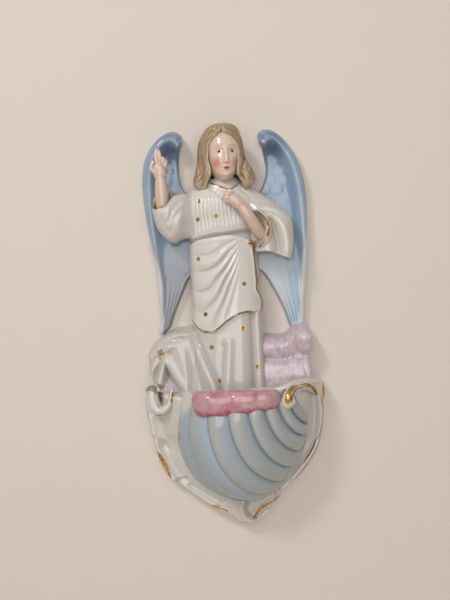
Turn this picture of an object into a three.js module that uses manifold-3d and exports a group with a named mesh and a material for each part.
// Holy water stoup: an angel standing over a ribbed shell basin, in glazed porcelain, hung on a wall.
// Millimetres, +Z up. The flat back lies in the plane Y = 0 and the front faces -Y.
// The reference point is on the back, at mid-height. Right and left are the angel's own, so right is -X.
// The china is fired as one piece, stuck up with slip from the castings that are modelled here.
import * as THREE from "three";
import { mergeVertices } from "three/addons/utils/BufferGeometryUtils.js";
import Module from "manifold-3d";

const wasm = await Module();
wasm.setup();

// Slip joint between two castings, and how deep one casting is let into the next
const seam = 0.3;
const keying = 4;

// Heights from the reference point
const crownZ = 99.4;
const chinZ = 70.8;
const shoulderZ = 66;
const sashZ = 44;
const skirtTopZ = 9;
const skirtFootZ = -36;
const rimZ = -31;
const wingTopZ = 98.8;
const wingFootZ = -3;
const borderFootZ = -96;
const footTipZ = -101.2;

// Flat slab against the wall, with its nail hole
const slabThick = 4;
const slabInset = 1.8;
const nailHole = 8;
const nailZ = 58;

// Robe: half widths, fronts and wall. The skirt spreads to the angel's right at its foot.
const figureX = -0.8;
const hipHalf = 17.6;
const shoulderHalf = 19.6;
const collarHalf = 7;
const collarRise = 7.5;
const shoulderDrop = 6;
const skirtSpread = 5.5;
const skirtFront = 21.5;
const waistFront = 20.5;
const chestFront = 24;
const castingWall = 4.2;

// Skirt folds and mantle
const skirtFold = 1.5;
const mantleThick = 2.6;
const mantleFold = 0.7;
const mantleFoldPitch = 9.5;
const mantleTopZ = 44.3;
const mantleHemZ = -2.6;
const mantleKnotX = 10;

// Head and hair
const headX = 0.9;
const headDepth = 17.5;
const headHalf = 7.6;
const faceFront = 10.4;
const skullBack = 8.5;
const neckRadius = 5.2;
const hairHalf = 12;
const hairBack = 12.5;
const hairFront = 8.5;
const hairFringe = 2;
const hairOver = 2.6;
const lockHalf = 15.6;
const hairFootZ = 67.5;

// Arms
const rightCuffX = -30.4;
const rightCuffZ = 62.5;
const rightArmDepth = 20;
const sleeveHalfDepth = 8;
const forearmRadius = 3.1;
const wristRadius = 2.5;
const rightForearmOut = 13;
const palmLong = 5;
const palmHalf = 3.5;
const palmThick = 2.1;
const fingerRadius = 1.2;
const fingerLength = 8.2;
const cuffHollow = 1;
const elbowRadius = 4.3;
const leftElbowX = 21;
const leftElbowZ = 39.4;
const leftWristX = 6.4;
const leftWristZ = 58.4;
const leftArmDepth = 27;
const leftSleeveX = 33.7;
const leftSleeveFootZ = 30.8;

// Wings
const rightWingReach = 40.8;
const leftWingReach = 42.4;
const wingRoot = 13;
const wingBack = 1.5;
const wingWeb = 4.5;
const wingRoll = 6;
const featherCount = 5;
const featherStep = 0.7;

// Train and clouds
const trainReach = 42.3;
const trainTopZ = 1.5;
const trainDepth = 15;
const trainFold = 1.6;
const cloudReach = 42.3;
const cloudTopZ = -0.8;
const cloudDepth = 14;
const cloudLump = 1.5;
const smallCloudHalf = 8.5;
const smallCloudInset = 5.1;
const smallCloudRise = 2.5;

// Shell basin, its ribs, its well and its lip
const basinX = -27;
const basinWidth = 62.5;
const basinHeight = 56;
const basinFront = 45;
const ribCount = 8;
const ribHeight = 2.1;
const wellHalf = 23;
const wellX = 2.5;
const wellBack = 23;
const wellFront = 40;
const wellDepth = 38;
const lipHalf = 20.9;
const lipX = 1;
const lipHalfHeight = 6;
const lipThick = 4.6;

// Rocaille border
const borderHalf = 45.6;
const borderFlare = 10.1;
const borderBack = 1.5;
const borderDepth = 9;
const borderBead = 2.4;
const voluteRadius = 3;
const voluteProud = 0.5;
const cupWidth = 13.4;
const cupFront = 21;
const cupEyeDepth = 5;
const footX = 3.5;
const footHalf = 18;
const footTall = 15;
const footDepth = 9.5;
const footCurl = 1.7;

const lerp = THREE.MathUtils.lerp;
const clamp = THREE.MathUtils.clamp;
const smoothstep = THREE.MathUtils.smoothstep;
const at = (x, depth, z) => new THREE.Vector3(x, -depth, z);
const hump = (x, centre, width) => Math.exp(-(((x - centre) / width) ** 2));
const slabFront = slabThick + seam;

// A smooth function of t through [t, value] pairs in rising order of t
function through(pairs) {
  const last = pairs.length - 1;
  const slope = (i) => {
    const before = pairs[Math.max(i - 1, 0)];
    const after = pairs[Math.min(i + 1, last)];
    return (after[1] - before[1]) / (after[0] - before[0]);
  };
  return (t) => {
    const next = pairs.findIndex(([key]) => t < key);
    const i = clamp(next < 0 ? last - 1 : next - 1, 0, last - 1);
    const [t0, v0] = pairs[i];
    const [t1, v1] = pairs[i + 1];
    const span = t1 - t0;
    const s = clamp((t - t0) / span, 0, 1);
    const rise = v1 - v0;
    const bend = (1 - s) * (slope(i) * span - rise) - s * (slope(i + 1) * span - rise);
    return v0 + rise * s + s * (1 - s) * bend;
  };
}

// An edge in the front view through [x, z] points, as a function of t from 0 to 1
function edge(points) {
  const curve = new THREE.SplineCurve(points.map(([x, z]) => new THREE.Vector2(x, z)));
  return (t) => curve.getPoint(t);
}

// A closed skin over rings of equal point count, with a fan over each end
function loft(rings) {
  const count = rings[0].length;
  const middle = (ring) => ring.reduce((sum, p) => sum.add(p), new THREE.Vector3()).divideScalar(count);
  const points = [...rings.flat(), middle(rings[0]), middle(rings.at(-1))];
  const foot = rings.length * count;
  const faces = [];
  for (let i = 0; i < count; i++) {
    const j = (i + 1) % count;
    faces.push([foot, j, i]);
    for (let r = 0; r + 1 < rings.length; r++) {
      const low = r * count;
      const high = low + count;
      faces.push([low + i, low + j, high + j], [low + i, high + j, high + i]);
    }
    faces.push([foot + 1, foot - count + i, foot - count + j]);
  }
  const volume = faces.reduce(
    (sum, [a, b, c]) => sum + points[a].dot(points[b].clone().cross(points[c])),
    0,
  );
  const outward = volume > 0 ? faces : faces.map(([a, b, c]) => [a, c, b]);
  return new THREE.BufferGeometry().setFromPoints(points).setIndex(outward.flat());
}

// A casting in relief: each ring crosses the front from one edge to the other and closes flat at the back.
// front(t, v, x, z) is the depth of the front, t along the casting and v across it, both from 0 to 1.
function relief({ from, to, along, across, front, back }) {
  const rings = [];
  for (let r = 0; r <= along; r++) {
    const t = r / along;
    const a = from(t);
    const b = to(t);
    const ring = [at(a.x, back, a.y)];
    for (let i = 0; i <= across; i++) {
      const v = (1 - Math.cos((Math.PI * i) / across)) / 2;
      const p = a.clone().lerp(b, v);
      ring.push(at(p.x, Math.max(front(t, v, p.x, p.y), back + seam), p.y));
    }
    ring.push(at(b.x, back, b.y));
    rings.push(ring);
  }
  return loft(rings);
}

// A round casting between two edges of the front view, with its middle depth and half depth along t
function pod({ from, to, along, sides, depth, half }) {
  const rings = [];
  for (let r = 0; r <= along; r++) {
    const t = r / along;
    const a = from(t);
    const b = to(t);
    const ring = [];
    for (let i = 0; i < sides; i++) {
      const angle = (2 * Math.PI * i) / sides;
      const p = a.clone().lerp(b, (1 - Math.cos(angle)) / 2);
      ring.push(at(p.x, depth(t) + half(t) * Math.sin(angle), p.y));
    }
    rings.push(ring);
  }
  return loft(rings);
}

// A round-ended limb along [x, depth, z] points, with its half width and half depth along t
function limb(points, along, sides, wide, deep = wide) {
  const curve = new THREE.CatmullRomCurve3(points.map(([x, depth, z]) => at(x, depth, z)));
  const toFront = new THREE.Vector3(0, -1, 0);
  const rings = [];
  for (let r = 0; r <= along; r++) {
    const t = (1 - Math.cos((Math.PI * r) / along)) / 2;
    const round = Math.max(Math.sin((Math.PI * r) / along) ** 0.5, 0.35);
    const tangent = curve.getTangent(t);
    const side = new THREE.Vector3().crossVectors(tangent, toFront).normalize();
    const up = new THREE.Vector3().crossVectors(side, tangent);
    const centre = curve.getPoint(t);
    const ring = [];
    for (let i = 0; i < sides; i++) {
      const angle = (2 * Math.PI * i) / sides;
      const out = side.clone().multiplyScalar(wide(t) * round * Math.cos(angle));
      ring.push(out.addScaledVector(up, deep(t) * round * Math.sin(angle)).add(centre));
    }
    rings.push(ring);
  }
  return loft(rings);
}

// The bare closed skin of a geometry, with its shared points merged
function skin(geometry) {
  const bare = new THREE.BufferGeometry();
  bare.setAttribute("position", geometry.getAttribute("position"));
  bare.setIndex(geometry.index);
  return mergeVertices(bare, 1e-4);
}

function solid(geometry) {
  const merged = skin(geometry);
  return new wasm.Manifold(
    new wasm.Mesh({
      numProp: 3,
      vertProperties: merged.getAttribute("position").array,
      triVerts: new Uint32Array(merged.index.array),
    }),
  );
}

function shaped(body) {
  const mesh = body.getMesh();
  const geometry = new THREE.BufferGeometry();
  geometry.setAttribute("position", new THREE.BufferAttribute(mesh.vertProperties, mesh.numProp));
  geometry.setIndex(new THREE.BufferAttribute(mesh.triVerts, 1));
  geometry.computeVertexNormals();
  return geometry;
}

const joined = (...geometries) => shaped(geometries.map(solid).reduce((sum, next) => sum.add(next)));
const hollowed = (geometry, hollow) => shaped(solid(geometry).subtract(solid(hollow)));

// The same shape with its skin moved out by the slip joint
function grown(geometry) {
  const fat = skin(geometry);
  fat.computeVertexNormals();
  const place = fat.getAttribute("position");
  const normal = fat.getAttribute("normal");
  for (let i = 0; i < place.count; i++) {
    place.setXYZ(
      i,
      place.getX(i) + seam * normal.getX(i),
      place.getY(i) + seam * normal.getY(i),
      place.getZ(i) + seam * normal.getZ(i),
    );
  }
  return fat;
}

// Robe: its two edges and its front by height
const collarZ = shoulderZ + collarRise;
const slopeZ = shoulderZ + collarRise / 2;
const armpitZ = shoulderZ - shoulderDrop;
const robeRight = through([
  [skirtFootZ, figureX - hipHalf - skirtSpread],
  [(skirtFootZ + 5 * skirtTopZ) / 6 - skirtSpread * 2, figureX - hipHalf - skirtSpread / 4],
  [skirtTopZ, figureX - hipHalf],
  [sashZ, figureX - hipHalf],
  [armpitZ, figureX - shoulderHalf],
  [shoulderZ, figureX - shoulderHalf * 0.9],
  [slopeZ, figureX - (shoulderHalf + collarHalf) / 2],
  [collarZ, headX - collarHalf],
]);
const robeLeft = through([
  [skirtFootZ, figureX + hipHalf + skirtSpread / 9],
  [skirtTopZ, figureX + hipHalf],
  [sashZ, figureX + hipHalf],
  [armpitZ, figureX + shoulderHalf],
  [shoulderZ, figureX + shoulderHalf * 0.9],
  [slopeZ, figureX + (shoulderHalf + collarHalf) / 2],
  [collarZ, headX + collarHalf],
]);
const robeFront = through([
  [skirtFootZ, skirtFront],
  [skirtTopZ, waistFront],
  [sashZ, waistFront],
  [armpitZ, chestFront],
  [shoulderZ, chestFront * 0.92],
  [collarZ, headDepth],
]);

// Depth of the robe's front, as a flattened arc from edge to edge, drawn in by inset
function robeDepth(x, z, inset = 0) {
  const middle = (robeRight(z) + robeLeft(z)) / 2;
  const half = (robeLeft(z) - robeRight(z)) / 2 - inset;
  const arc = Math.sqrt(Math.max(1 - ((x - middle) / half) ** 2, 0)) ** 0.7;
  return slabFront + (robeFront(z) - inset - slabFront) * arc;
}

// Upright folds of the skirt: a tube on the angel's left, and soft ones that lean out below
function skirtFolds(x, z) {
  const fall = (skirtTopZ - z) / (skirtTopZ - skirtFootZ);
  const folds = [
    [0.88, 0.9, 0.15, 1.5],
    [0.4, 0.34, 0.19, 0.6],
    [-0.02, -0.16, 0.16, 0.7],
    [-0.95, -0.46, 0.14, 0.9],
    [-1.1, -0.9, 0.16, 0.8],
  ];
  const rise = folds.reduce((sum, [top, foot, wide, tall]) => {
    return sum + tall * hump(x, figureX + hipHalf * lerp(top, foot, fall), hipHalf * wide);
  }, 0);
  return skirtFold * rise * smoothstep(fall, -0.1, 0.35);
}

function robe(lowZ, highZ, along, across, inset, folds) {
  const height = (t) => lerp(lowZ, highZ, t);
  return relief({
    from: (t) => new THREE.Vector2(robeRight(height(t)) + inset, height(t)),
    to: (t) => new THREE.Vector2(robeLeft(height(t)) - inset, height(t)),
    along,
    across,
    front: (t, v, x, z) => robeDepth(x, z, inset) + folds(x, z),
    back: inset ? -keying : slabFront,
  });
}

const noFolds = () => 0;
const tunicSkirt = robe(skirtFootZ, skirtTopZ, 7, 20, 0, skirtFolds);
const skirtHollow = robe(skirtFootZ - keying, skirtTopZ + keying, 3, 6, castingWall, noFolds);
const tunicBodice = robe(skirtTopZ + seam, collarZ - seam, 10, 12, 0, noFolds);
const bodiceHollow = robe(skirtTopZ - keying, shoulderZ - castingWall, 4, 6, castingWall, noFolds);

// Mantle: a sheet over the hips, gathered at the knot, with folds hanging from there like chains
const mantleTall = mantleTopZ - mantleHemZ;
function mantleFolds(x, z) {
  const along = clamp((mantleKnotX - x) / (mantleKnotX + hipHalf), 0.04, 1);
  const drop = Math.max(mantleTopZ - z, 0) / along ** 0.55;
  const gathered = smoothstep(along, 0.1, 0.45) * smoothstep(drop, 0.2 * mantleFoldPitch, mantleFoldPitch);
  const fade = gathered * (1 - 0.6 * smoothstep(along, 0.75, 1));
  return mantleFold * fade * Math.sin((2 * Math.PI * drop) / mantleFoldPitch);
}

// Its waist and its hem, as shares of the half hip and of its own height
const mantleWaist = [
  [-1.07, 0.07],
  [-0.69, 0.032],
  [-0.3, 0.017],
  [0.1, 0],
  [0.5, 0.021],
  [0.8, 0.07],
];
const mantleHem = [
  [-1.07, 0.12],
  [-0.75, 0.009],
  [-0.41, 0.004],
  [-0.01, 0.098],
  [0.44, 0.177],
  [0.98, 0.183],
];
const mantle = relief({
  from: edge(mantleWaist.map(([x, drop]) => [figureX + hipHalf * x, mantleTopZ - mantleTall * drop])),
  to: edge(mantleHem.map(([x, rise]) => [figureX + hipHalf * x, mantleHemZ + mantleTall * rise])),
  along: 14,
  across: 18,
  front: (t, v, x, z) => {
    const over = Math.max(robeDepth(x, z), slabFront + keying);
    return over + mantleThick * Math.min(1, 8 * t + 0.6) + mantleFolds(x, z);
  },
  back: slabFront,
});

// Head on its neck: half width, front and back by height from chin to crown
const headTopZ = crownZ - hairOver;
const headLevel = (t) => lerp(chinZ, headTopZ, t);
const headWide = through([
  [0, headHalf * 0.45],
  [0.15, headHalf * 0.74],
  [0.45, headHalf * 0.97],
  [0.7, headHalf],
  [0.9, headHalf * 0.75],
  [1, headHalf * 0.25],
]);
const headReach = through([
  [0, faceFront * 0.72],
  [0.1, faceFront * 0.9],
  [0.35, faceFront],
  [0.65, faceFront * 0.97],
  [0.88, faceFront * 0.75],
  [1, faceFront * 0.2],
]);
const headRings = Array.from({ length: 11 }, (_, r) => {
  const t = r / 10;
  return Array.from({ length: 16 }, (_, i) => {
    const angle = (2 * Math.PI * i) / 16;
    const reach = Math.cos(angle) > 0 ? headReach(t) : skullBack * Math.sqrt(headWide(t) / headHalf);
    return at(headX + headWide(t) * Math.sin(angle), headDepth + reach * Math.cos(angle), headLevel(t));
  });
});
const neck = limb(
  [
    [headX, headDepth - keying / 2, shoulderZ - keying],
    [headX, headDepth - keying / 4, shoulderZ + keying],
    [headX, headDepth, chinZ + 2 * keying],
  ],
  6,
  12,
  () => neckRadius,
);
const head = joined(loft(headRings), neck);

// Hair: rings open to the face at the front, closing over the brow, with a lock on each shoulder
const hairWide = through([
  [0, lockHalf * 0.8],
  [0.08, lockHalf],
  [0.25, (lockHalf + hairHalf) / 2],
  [0.45, hairHalf],
  [0.65, hairHalf],
  [0.83, hairHalf * 0.86],
  [0.95, hairHalf * 0.52],
  [1, hairHalf * 0.18],
]);
const hairRings = Array.from({ length: 12 }, (_, r) => {
  const t = r / 11;
  const z = lerp(hairFootZ, crownZ, t);
  const full = smoothstep(t, 0.82, 0.9);
  const fade = Math.min(1, 2.2 * Math.sqrt(Math.max(1 - t, 0.004)));
  const open = lerp(2.45, Math.PI * 0.96, full);
  const ring = Array.from({ length: 13 }, (_, i) => {
    const angle = lerp(-open, open, i / 12);
    const reach = (Math.cos(angle) > 0 ? hairBack : hairFront + hairFringe * full) * fade;
    return at(headX + hairWide(t) * Math.sin(angle), headDepth - reach * Math.cos(angle), z);
  });
  ring.push(at(headX, headDepth + lerp(-keying, (hairFront + hairFringe) * fade, full), z));
  return ring;
});
const hair = loft(hairRings);

// A hand: palm from wrist to knuckles, with fingers given as lists of points
function hand(palm, fingers) {
  const bones = fingers.map((points) => limb(points, 5, 6, () => fingerRadius));
  return joined(limb(palm, 5, 8, () => palmHalf, () => palmThick), ...bones);
}

// Right arm: forearm upright out of its cuff, two fingers raised and two folded
const palmZ = rightCuffZ + rightForearmOut;
const knuckleZ = palmZ + palmLong;
const armRoot = [rightCuffX, rightArmDepth - cuffHollow, rightCuffZ - fingerLength - keying];
const rightFinger = (points) =>
  points.map(([out, front, up]) => [
    rightCuffX + fingerRadius * out,
    rightArmDepth + fingerRadius * front,
    knuckleZ + fingerLength * up,
  ]);
const raised = (out, reach) => [
  [out, 0, -0.12],
  [out, 0.3, 0.55 * reach],
  [out + 0.2, 0, reach],
];
const folded = (out) => [
  [out, 0, -0.25],
  [out, 0.8, 0.3],
  [out, 2.2, 0.06],
  [out, 2, -0.3],
];
const rightThumb = [
  [-1.3, 0.5, -0.6],
  [-3, 1, -0.25],
  [-2, 1.3, 0.24],
];
const rightForearm = joined(
  limb(
    [
      armRoot,
      [rightCuffX + cuffHollow / 2, rightArmDepth, rightCuffZ + keying],
      [rightCuffX, rightArmDepth, palmZ],
    ],
    6,
    10,
    (t) => lerp(forearmRadius, wristRadius, t),
  ),
  hand(
    [
      [rightCuffX, rightArmDepth, palmZ - palmLong / 2],
      [rightCuffX, rightArmDepth, palmZ + palmLong / 2],
      [rightCuffX, rightArmDepth, knuckleZ + palmLong / 5],
    ],
    [raised(-1, 1), raised(0.35, 0.92), folded(1.5), folded(2.5), rightThumb].map(rightFinger),
  ),
);

// Right sleeve: fans from the shoulder round the elbow to the open cuff. Its edges are shares of the way
// out from the shoulder to the cuff, and of the way up from the sash to the cuff.
const rightShoulderX = figureX - shoulderHalf;
const rightSleevePlace = ([out, up]) => [
  lerp(rightShoulderX, rightCuffX, out),
  lerp(sashZ, rightCuffZ, up),
];
const rightSleeve = hollowed(
  pod({
    from: edge(
      [
        [-0.6, 0],
        [0, -0.02],
        [0.46, -0.12],
        [0.84, -0.02],
        [1.24, 0.25],
        [1.41, 0.57],
        [1.5, 0.95],
      ].map(rightSleevePlace),
    ),
    to: edge(
      [
        [-0.7, 1.08],
        [-0.2, 1.19],
        [0.05, 1.19],
        [0.24, 1.17],
        [0.38, 1.15],
        [0.41, 1.14],
        [0.41, 1.19],
      ].map(rightSleevePlace),
    ),
    along: 12,
    sides: 14,
    depth: (t) => rightArmDepth * lerp(0.72, 0.95, t),
    half: (t) => sleeveHalfDepth * lerp(1.05, 0.78, t),
  }),
  limb(
    [
      [rightCuffX, rightArmDepth - cuffHollow, rightCuffZ - fingerLength],
      [rightCuffX + cuffHollow / 2, rightArmDepth, rightCuffZ + cuffHollow],
      [rightCuffX, rightArmDepth, palmZ],
    ],
    6,
    12,
    () => forearmRadius + cuffHollow,
  ),
);

// Left arm: forearm crossed over the breast, the hand closed at the neckline
const leftHandX = leftWristX - 0.92 * palmLong;
const leftHandZ = leftWristZ + 0.88 * palmLong;
const curled = (slide) =>
  [
    [1.8, 1, 0.7],
    [-0.2, 1.2, 1.2],
    [-0.7, -1.3, 0],
  ].map(([out, front, up]) => [
    leftHandX + fingerRadius * (out + slide),
    leftArmDepth + fingerRadius * front,
    leftHandZ + fingerRadius * (up + slide),
  ]);
const leftArmAlong = (share, depth) => [
  lerp(leftElbowX, leftWristX, share),
  leftArmDepth * depth,
  lerp(leftElbowZ, leftWristZ, share),
];
const leftForearm = joined(
  limb(
    [leftArmAlong(0, 0.54), leftArmAlong(0.28, 0.8), leftArmAlong(0.63, 0.95), leftArmAlong(1, 1)],
    6,
    10,
    (t) => lerp(elbowRadius, wristRadius, t),
  ),
  hand(
    [
      [leftWristX + palmLong / 5, leftArmDepth, leftWristZ - palmLong / 5],
      [leftHandX + palmLong / 2, leftArmDepth + fingerRadius / 2, leftHandZ - palmLong / 3],
      [leftHandX, leftArmDepth + fingerRadius / 3, leftHandZ + palmLong / 5],
    ],
    [-1.4, 0, 1.4].map(curled),
  ),
);

// Left sleeve: a wide bell hanging from the shoulder, with a deep valley between its cuff and outer fold.
// Its edges are shares of the way out from the shoulder, and of the way up from its foot to the shoulder.
const leftShoulderX = figureX + shoulderHalf;
const leftSleevePlace = ([out, up]) => [
  lerp(leftShoulderX, leftSleeveX, out),
  lerp(leftSleeveFootZ, shoulderZ, up),
];
const leftSleeveDepth = (t) => lerp(chestFront * 0.52, leftArmDepth * 0.59, t);
const valley = [
  [0.45, -0.09],
  [0.41, 0.32],
  [0.3, 0.54],
].map(([out, up]) => {
  const [x, z] = leftSleevePlace([out, up]);
  return [x, leftSleeveDepth(1) + sleeveHalfDepth, z];
});
const leftSleeve = hollowed(
  pod({
    from: edge(
      [
        [-0.36, 1.07],
        [0.35, 0.85],
        [0.73, 0.72],
        [0.96, 0.57],
        [1, 0.37],
        [0.97, 0.17],
        [0.87, 0],
      ].map(leftSleevePlace),
    ),
    to: edge(
      [
        [-1.06, 0.86],
        [-0.79, 0.76],
        [-0.62, 0.66],
        [-0.52, 0.52],
        [-0.5, 0.37],
        [-0.43, 0.25],
        [-0.31, 0.12],
      ].map(leftSleevePlace),
    ),
    along: 12,
    sides: 14,
    depth: leftSleeveDepth,
    half: (t) => sleeveHalfDepth * lerp(0.68, 1.02, smoothstep(t, 0, 0.4)),
  }),
  limb(valley, 6, 10, () => forearmRadius),
);

// Wings: inner and outer edges as shares of the reach, by shares of the height. The leading edge is a thick
// roll, hooked over at the top, and the web inside it steps down feather by feather.
function wing(side, reach, outer, inner) {
  const height = (t) => lerp(wingFootZ, wingTopZ, t);
  const steps = (t) => 1 - (1 - t) ** 1.7;
  return relief({
    from: (t) => new THREE.Vector2(side * reach * inner(steps(t)), height(steps(t))),
    to: (t) => new THREE.Vector2(side * reach * outer(steps(t)), height(steps(t))),
    along: 17,
    across: 16,
    front: (t, v) => {
      const share = steps(t);
      const width = reach * (outer(share) - inner(share));
      const fromEdge = (1 - v) * width;
      const edgeRoll = hump(fromEdge, wingRoll * 0.53, wingRoll * 0.67);
      const roll = wingRoll * edgeRoll * smoothstep(share, 0.02, 0.6);
      const hook = wingRoll * smoothstep(share, 0.88, 0.97);
      const feather = featherStep * ((v * featherCount) % 1) * smoothstep(0.8 - share, 0, 0.2);
      const rim = Math.sqrt(clamp((2 * Math.min(fromEdge, v * width)) / wingWeb, 0, 1));
      return wingBack + wingWeb * lerp(0.33, 1, rim) + Math.max(roll, hook) + feather;
    },
    back: wingBack,
  });
}

const wingRootShare = (reach) => wingRoot / reach;
const rightWing = wing(
  -1,
  rightWingReach,
  through([
    [0, 0.89],
    [0.08, 0.855],
    [0.3, 0.88],
    [0.46, 0.94],
    [0.68, 1],
    [0.82, 0.985],
    [0.9, 0.92],
    [0.955, 0.82],
    [0.985, 0.7],
    [1, 0.6],
  ]),
  through([
    [0, 0.82],
    [0.03, 0.74],
    [0.1, 0.67],
    [0.22, 0.535],
    [0.27, 0.47],
    [0.33, wingRootShare(rightWingReach)],
    [0.64, wingRootShare(rightWingReach)],
    [0.71, 0.48],
    [0.78, 0.53],
    [0.85, 0.53],
    [0.95, 0.483],
    [0.98, 0.5],
    [1, 0.57],
  ]),
);
const leftWing = wing(
  1,
  leftWingReach,
  through([
    [0, 0.89],
    [0.14, 0.913],
    [0.3, 0.965],
    [0.46, 0.992],
    [0.62, 1],
    [0.74, 0.975],
    [0.84, 0.917],
    [0.92, 0.8],
    [0.97, 0.66],
    [1, 0.54],
  ]),
  through([
    [0, 0.72],
    [0.1, 0.645],
    [0.2, 0.535],
    [0.28, 0.425],
    [0.33, wingRootShare(leftWingReach)],
    [0.62, wingRootShare(leftWingReach)],
    [0.69, 0.44],
    [0.78, 0.535],
    [0.85, 0.53],
    [0.95, 0.445],
    [0.98, 0.46],
    [1, 0.51],
  ]),
);

// Train: drapery blown out from the skirt, with folds fanning from the hip. Its edges are shares of its
// reach and of its height.
const trainTall = trainTopZ - skirtFootZ;
const trainPlace = ([out, drop]) => [-trainReach * out, trainTopZ - trainTall * drop];
const trainRoot = figureX - hipHalf + keying;
const train = relief({
  from: edge([
    [trainRoot, trainTopZ],
    ...[
      [0.52, 0.03],
      [0.64, 0.04],
      [0.79, 0.12],
      [0.92, 0.24],
      [1, 0.37],
    ].map(trainPlace),
  ]),
  to: edge([
    [trainRoot, skirtFootZ],
    ...[
      [0.52, 0.97],
      [0.61, 0.92],
      [0.76, 0.79],
      [0.91, 0.71],
      [0.99, 0.52],
    ].map(trainPlace),
  ]),
  along: 10,
  across: 16,
  front: (t, v) => {
    const body = borderBack + trainDepth * (1 - 0.45 * t);
    const ends = Math.sqrt(clamp(Math.min(v, 1 - v) * 6, 0.1, 1));
    return borderBack + (body - borderBack) * ends + trainFold * Math.sin(v * 19 - t * 4);
  },
  back: borderBack,
});

// Clouds: the left one in two tiers with a round lump at its outer corner, the right one a single puff
const cloudTall = cloudTopZ - skirtFootZ;
const cloudPlace = ([out, drop]) => [cloudReach * out, cloudTopZ - cloudTall * drop];
const cloudRoot = figureX + hipHalf - keying;
const [lumpX, lumpZ] = cloudPlace([0.865, 0.2]);
const tierZ = cloudTopZ - cloudTall * 0.48;
const lumps = (x, z) => {
  const corner = hump(Math.hypot(x - lumpX, z - lumpZ), 0, smallCloudHalf / 2);
  return cloudLump * (1.4 * corner - hump(z, tierZ, smallCloudHalf / 4));
};
const leftCloud = relief({
  from: edge([
    [cloudRoot, cloudTopZ - cloudTall * 0.085],
    ...[
      [0.567, 0.142],
      [0.686, 0.091],
      [0.757, 0.011],
      [0.898, 0],
      [1, 0.227],
    ].map(cloudPlace),
  ]),
  to: edge([
    [cloudRoot, skirtFootZ],
    ...[
      [0.52, 1.02],
      [0.662, 1.02],
      [0.78, 1.02],
      [0.936, 1.04],
      [0.99, 0.94],
    ].map(cloudPlace),
  ]),
  along: 12,
  across: 14,
  front: (t, v, x, z) => {
    const ends = Math.sqrt(clamp(Math.min(v, 1 - v, 1.1 - t) * 5, 0.1, 1));
    return borderBack + cloudDepth * ends + lumps(x, z);
  },
  back: borderBack,
});
const smallCloudPlace = ([across, up]) => [
  lerp(smallCloudInset - borderHalf, figureX - hipHalf - skirtSpread, across),
  rimZ + smallCloudRise + smallCloudHalf * up,
];
const rightCloud = relief({
  from: edge(
    [
      [0, 0],
      [0.35, 1],
      [1, 0.6],
    ].map(smallCloudPlace),
  ),
  to: edge(
    [
      [0, -0.35],
      [0.35, -1],
      [1, -1],
    ].map(smallCloudPlace),
  ),
  along: 8,
  across: 8,
  front: (t, v) => borderBack + cloudDepth * Math.sqrt(clamp(Math.min(v, 1 - v, t + 0.1) * 3, 0.1, 1)),
  back: borderBack,
});

// Shell basin: each rib line runs from the rim down and round to the angel's left. Its two ends and the two
// handles of its curve are shares of the basin's width and height, for u from the right rib to the left.
const ribLine = [
  [through([[0, 0], [0.25, 0.24], [0.5, 0.52], [0.75, 0.728], [1, 0.88]]), () => 0],
  [
    through([[0, -0.176], [0.25, 0.168], [0.5, 0.504], [0.75, 0.744], [1, 0.896]]),
    through([[0, 0.66], [0.25, 0.554], [0.5, 0.34], [0.75, 0.232], [1, 0.09]]),
  ],
  [
    through([[0, 0.128], [0.25, 0.416], [0.5, 0.656], [0.75, 0.872], [1, 0.96]]),
    through([[0, 1.143], [0.25, 0.982], [0.5, 0.696], [0.75, 0.45], [1, 0.214]]),
  ],
  [
    through([[0, 0.672], [0.25, 0.8], [0.5, 0.918], [0.75, 1], [1, 1]]),
    through([[0, 1], [0.25, 0.902], [0.5, 0.696], [0.75, 0.41], [1, 0.268]]),
  ],
];
const rimDepth = through([
  [0, basinFront * 0.53],
  [0.12, basinFront * 0.78],
  [0.25, basinFront * 0.93],
  [0.5, basinFront],
  [0.75, basinFront * 0.89],
  [1, basinFront * 0.6],
]);
const ribEndDepth = through([
  [0, basinFront * 0.145],
  [0.25, basinFront * 0.2],
  [0.5, basinFront * 0.31],
  [0.75, basinFront * 0.38],
  [1, basinFront * 0.4],
]);

// A point of the plain shell: u across the ribs, w along them
function shellPoint(u, w) {
  const [a, b, c, d] = ribLine.map(([x, z]) => {
    return new THREE.Vector2(basinX + basinWidth * x(u), rimZ - basinHeight * z(u));
  });
  const p = new THREE.CubicBezierCurve(a, b, c, d).getPoint(w);
  const flank = (1 - w) ** 1.6;
  const belly = (1 - w * w) ** 0.8;
  const share = lerp(flank, belly, smoothstep(u, 0, 0.25));
  return at(p.x, lerp(ribEndDepth(u), rimDepth(u), share), p.y);
}

function shellNormal(u, w) {
  const step = 0.01;
  const across = shellPoint(Math.min(u + step, 1), w).sub(shellPoint(Math.max(u - step, 0), w));
  const along = shellPoint(u, Math.min(w + step, 0.99)).sub(shellPoint(u, Math.max(w - step, 0)));
  const normal = across.cross(along).normalize();
  return normal.y > 0 ? normal.negate() : normal;
}

// Each rib rises steeply on one flank and falls away slowly to the next groove, and dies out under the lip
const ribSteps = 4;
const shellSteps = 10;
const shellRings = Array.from({ length: ribCount * ribSteps + 1 }, (_, r) => {
  const u = r / (ribCount * ribSteps);
  const crest = ribHeight * Math.sin(Math.PI * ((r % ribSteps) / ribSteps) ** 0.6) ** 0.75;
  const ring = Array.from({ length: shellSteps + 1 }, (_, i) => {
    const w = i / shellSteps;
    const fade = smoothstep(w, 0, 0.25) * (1 - w ** 4);
    return shellPoint(u, w).addScaledVector(shellNormal(u, w), crest * fade);
  });
  const rim = ring[0];
  const end = ring.at(-1);
  ring.push(at(end.x, slabFront, end.z));
  ring.push(at(lerp(end.x, rim.x, 0.4), slabFront, lerp(end.z, rim.z, 0.4)));
  ring.push(at(rim.x, slabFront, rim.z));
  return ring;
});

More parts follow.
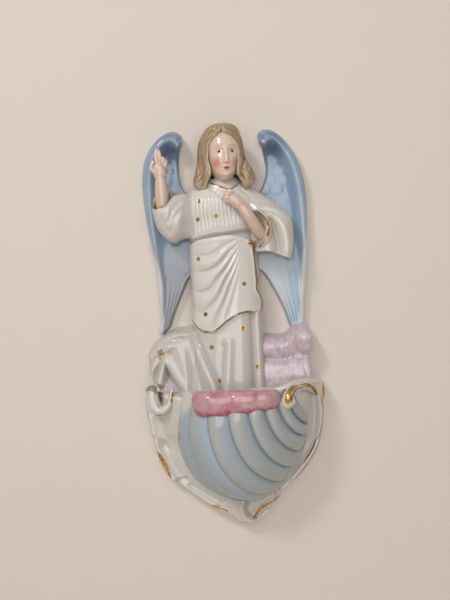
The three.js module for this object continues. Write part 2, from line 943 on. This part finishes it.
// The well: half a bowl, upright at the back, open at the rim
const wellSteps = 8;
const wellSides = 14;
const wellRings = Array.from({ length: wellSteps + 1 }, (_, r) => {
  const t = r / wellSteps;
  const share = Math.sqrt(Math.max(1 - t * t, 0.01));
  return Array.from({ length: wellSides + 1 }, (_, i) => {
    const angle = (Math.PI * i) / wellSides;
    const depth = wellBack + (wellFront - wellBack) * share * Math.sin(angle);
    return at(wellX + wellHalf * share * Math.cos(angle), depth, rimZ - t * wellDepth);
  });
});
const wellMouth = wellRings[0].map((p) => p.clone().setZ(rimZ + keying));
const basin = hollowed(loft(shellRings), loft([wellMouth, ...wellRings]));

// Lip: a roll of three lobes over the front of the rim, lower towards the angel's left
const lobes = (t) => Math.abs(Math.sin(Math.PI * (0.02 + 2.96 * t ** 0.92))) ** 0.5;
const lipPlace = (t) => lerp(lipX - lipHalf, lipX + lipHalf, t);
const rimAt = (t) => basinFront * (0.975 - 0.2 * (2 * t - 1) ** 4);
const lipSteps = 20;
const lipSides = 10;
const lipRings = Array.from({ length: lipSteps + 1 }, (_, r) => {
  const t = r / lipSteps;
  const end = Math.sqrt(clamp(Math.min(t, 1 - t) * 14, 0.12, 1));
  const swell = (0.86 + 0.14 * lobes(t)) * end;
  const tall = lipHalfHeight * lerp(1, 0.8, smoothstep(t, 0.45, 1));
  return Array.from({ length: lipSides }, (_, i) => {
    const angle = (2 * Math.PI * i) / lipSides;
    const sag = Math.sin(angle) < 0 ? 1.2 : 0.8;
    const z = rimZ - 0.4 * lipHalfHeight + tall * swell * sag * Math.sin(angle);
    return at(lipPlace(t), rimAt(t) + lipThick * swell * Math.cos(angle), z);
  });
});
const basinLip = loft(lipRings);

// Border: a flaring band round the shell with a rolled outer edge, thick at the top where it turns over.
// The outer edge is in shares of the half width, which on the angel's left is the basin's end and a flare
// beyond it, and of the drop from the rim to the border's foot. The inner edge is in shares of the basin.
const borderDrop = rimZ - borderFootZ;
const borderLeftHalf = basinX + basinWidth + borderFlare;
const borderPlace = (side, [x, drop]) => [
  side < 0 ? -borderHalf * x : borderLeftHalf * x,
  rimZ - borderDrop * drop,
];
function border(side, outer, inner, topInner, topOuter) {
  const outerEdge = edge(outer.map((share) => borderPlace(side, share)));
  const innerEdge = edge(inner.map(([x, drop]) => [basinX + basinWidth * x, rimZ - basinHeight * drop]));
  return relief({
    from: innerEdge,
    to: outerEdge,
    along: 14,
    across: 8,
    front: (t, v) => {
      const upper = 1 - smoothstep(t, 0, 0.32);
      const inside = borderDepth * lerp(1.3, topInner, upper);
      const outside = borderDepth * lerp(0.7, topOuter, upper);
      const fromEdge = (1 - v) * outerEdge(t).distanceTo(innerEdge(t));
      const roll = borderBead * hump(fromEdge, borderBead, borderBead);
      const rim = Math.sqrt(clamp((1 - v) * 8, 0.1, 1));
      return borderBack + (lerp(inside, outside, v) * (1 - 0.16 * Math.sin(Math.PI * v)) + roll) * rim;
    },
    back: borderBack,
  });
}

const rightBorder = border(
  -1,
  [
    [0.978, 0],
    [0.997, 0.123],
    [0.96, 0.262],
    [0.912, 0.4],
    [0.868, 0.554],
    [0.768, 0.689],
    [0.592, 0.769],
    [0.329, 0.908],
    [0.088, 1.012],
  ],
  [
    [0.048, 0.036],
    [0.029, 0.161],
    [0.003, 0.313],
    [-0.01, 0.446],
    [0.016, 0.6],
    [0.086, 0.75],
    [0.182, 0.868],
    [0.31, 0.964],
    [0.464, 1.018],
  ],
  2.4,
  1.4,
);
const leftBorder = border(
  1,
  [
    [1.027, -0.023],
    [1.027, 0.108],
    [0.987, 0.246],
    [0.961, 0.385],
    [0.886, 0.545],
    [0.768, 0.662],
    [0.627, 0.766],
    [0.482, 0.852],
    [0.351, 0.923],
  ],
  [
    [0.816, 0.018],
    [0.92, 0.143],
    [0.963, 0.268],
    [0.96, 0.429],
    [0.918, 0.571],
    [0.848, 0.714],
    [0.758, 0.839],
    [0.656, 0.939],
    [0.544, 1],
  ],
  2.9,
  1.1,
);

// Right volute: a hollow curl, its rim sweeping round under a deep eye that is open at the top
const cupPlace = ([along, drop]) => [cupWidth * (0.15 + along) - borderHalf, rimZ - cupWidth * drop];
const cupRimDepth = through([
  [0, cupFront * 0.62],
  [0.3, cupFront * 0.9],
  [0.7, cupFront],
  [1, cupFront * 0.95],
]);
const rightVolute = relief({
  from: edge(
    [
      [0, -0.1],
      [0.01, 0.25],
      [0.15, 0.57],
      [0.43, 0.73],
      [0.72, 0.63],
      [0.91, 0.34],
      [1, -0.07],
    ].map(cupPlace),
  ),
  to: edge(
    [
      [0.42, -0.12],
      [0.45, 0.15],
      [0.48, 0.3],
      [0.52, 0.34],
      [0.57, 0.3],
      [0.61, 0.15],
      [0.64, -0.12],
    ].map(cupPlace),
  ),
  along: 12,
  across: 6,
  front: (t, v) => lerp(cupRimDepth(t), cupEyeDepth, v ** 1.5),
  back: borderBack,
});

// Left volute: a gilded scroll from its knob over the top of the border and down its outer side
const voluteFront = rimDepth(0.84) + voluteProud;
const scrollPlace = ([x, depth, rise]) => [
  borderLeftHalf * x,
  voluteFront * depth,
  rimZ + voluteRadius * rise,
];
const leftVolute = limb(
  [
    [0.553, 0.99, -2],
    [0.557, 1, -0.8],
    [0.618, 0.9, 0],
    [0.724, 0.72, 0.25],
    [0.82, 0.56, -0.3],
    [0.895, 0.46, -1.9],
    [0.934, 0.39, -4],
  ].map(scrollPlace),
  14,
  8,
  (t) => voluteRadius * lerp(1.05, 0.55, smoothstep(t, 0, 0.6)),
);

// Foot: a rounded lobe with its own small curl, in shares of its half width, height and depth
const footPlace = ([x, rise]) => [footX + footHalf * x, footTipZ + footTall * rise];
const footLobe = relief({
  from: edge(
    [
      [-0.64, 1],
      [-0.19, 0.89],
      [0.19, 0.88],
      [0.5, 1],
      [0.86, 1.27],
    ].map(footPlace),
  ),
  to: edge(
    [
      [-1, 0.73],
      [-0.27, 0.19],
      [0.06, 0],
      [0.42, 0.24],
      [1, 0.96],
    ].map(footPlace),
  ),
  along: 10,
  across: 6,
  front: (t, v) => borderBack + footDepth * (1 - 0.3 * v) * Math.sqrt(clamp((1 - v) * 5, 0.1, 1)),
  back: borderBack,
});
const footCurve = limb(
  [
    [0.81, 0.84, 0.81],
    [0.42, 1.05, 0.59],
    [0.14, 1, 0.38],
    [0.16, 0.88, 0.22],
    [0.3, 0.88, 0.22],
    [0.32, 1, 0.38],
  ].map(([x, depth, rise]) => {
    const [placeX, placeZ] = footPlace([x, rise]);
    return [placeX, footDepth * depth, placeZ];
  }),
  10,
  6,
  () => footCurl,
);
const footScroll = joined(footLobe, footCurve);

// Slab: follows the silhouette of the castings, a little inside it
function slab() {
  const flank = (side, z) => (side < 0 ? robeRight(z) + slabInset : robeLeft(z) - slabInset);
  const upper = [shoulderZ, sashZ, skirtTopZ, trainTopZ - 0.16 * trainTall];
  const hairEdge = hairHalf - 2 * slabInset;
  const lower = (side) =>
    [
      [0.75, -0.22],
      [0.89, 0.06],
      [0.86, 0.34],
      [0.69, 0.65],
      [0.33, 0.85],
    ].map((share) => new THREE.Vector2(...borderPlace(side, share)));
  const sideOf = (side) => [
    new THREE.Vector2(headX + side * hairEdge * 0.6, crownZ - 5 * slabInset),
    new THREE.Vector2(headX + side * hairEdge, crownZ - 10 * slabInset),
    ...upper.map((z) => new THREE.Vector2(flank(side, z), z)),
    ...lower(side),
  ];
  const foot = new THREE.Vector2(footX, borderFootZ + seam);
  const shape = new THREE.Shape([...sideOf(-1), foot, ...sideOf(1).reverse()]);
  shape.holes.push(new THREE.Path().absarc(0, nailZ, nailHole / 2, 0, 2 * Math.PI));
  const cut = { depth: slabThick, bevelEnabled: false, curveSegments: 8 };
  return new THREE.ExtrudeGeometry(shape, cut).rotateX(Math.PI / 2);
}

const glazes = {
  white: [0xe6e1d8, 0.12],
  flesh: [0xdcbca4, 0.18],
  straw: [0xb39873, 0.25],
  blue: [0x93abc6, 0.14],
  lilac: [0xc6b2bb, 0.16],
  pink: [0xcb8a99, 0.14],
  shellBlue: [0xaebac2, 0.12],
  biscuit: [0xded7cb, 0.7],
};

// Luting order: a casting is cut by the seat of every casting before it
const castings = [
  ["back_wall", slab(), "biscuit"],
  ["head", head, "flesh"],
  ["tunic_skirt", tunicSkirt, "white", skirtHollow],
  ["tunic_bodice", tunicBodice, "white", bodiceHollow],
  ["left_forearm", leftForearm, "flesh"],
  ["mantle", mantle, "white"],
  ["hair", hair, "straw"],
  ["right_forearm", rightForearm, "flesh"],
  ["right_sleeve", rightSleeve, "white"],
  ["left_sleeve", leftSleeve, "white"],
  ["train", train, "white"],
  ["left_cloud", leftCloud, "lilac"],
  ["right_cloud", rightCloud, "lilac"],
  ["basin", basin, "shellBlue"],
  ["basin_lip", basinLip, "pink"],
  ["right_wing", rightWing, "blue"],
  ["left_wing", leftWing, "blue"],
  ["right_volute", rightVolute, "white"],
  ["left_volute", leftVolute, "white"],
  ["right_border", rightBorder, "white"],
  ["left_border", leftBorder, "white"],
  ["foot_scroll", footScroll, "white"],
];

const stoup = new THREE.Group();
stoup.name = "holy_water_stoup";
const seats = [];
for (const [name, geometry, glaze, hollow] of castings) {
  let body = solid(geometry);
  for (const seat of seats) body = body.subtract(seat);
  if (hollow) body = body.subtract(solid(hollow));
  const [largest] = body.decompose().sort((a, b) => b.volume() - a.volume());
  const [color, roughness] = glazes[glaze];
  const mesh = new THREE.Mesh(
    shaped(largest),
    new THREE.MeshStandardMaterial({ color, roughness, metalness: 0 }),
  );
  mesh.name = name;
  stoup.add(mesh);
  seats.push(solid(grown(geometry)).add(solid(geometry)));
}

export default stoup;
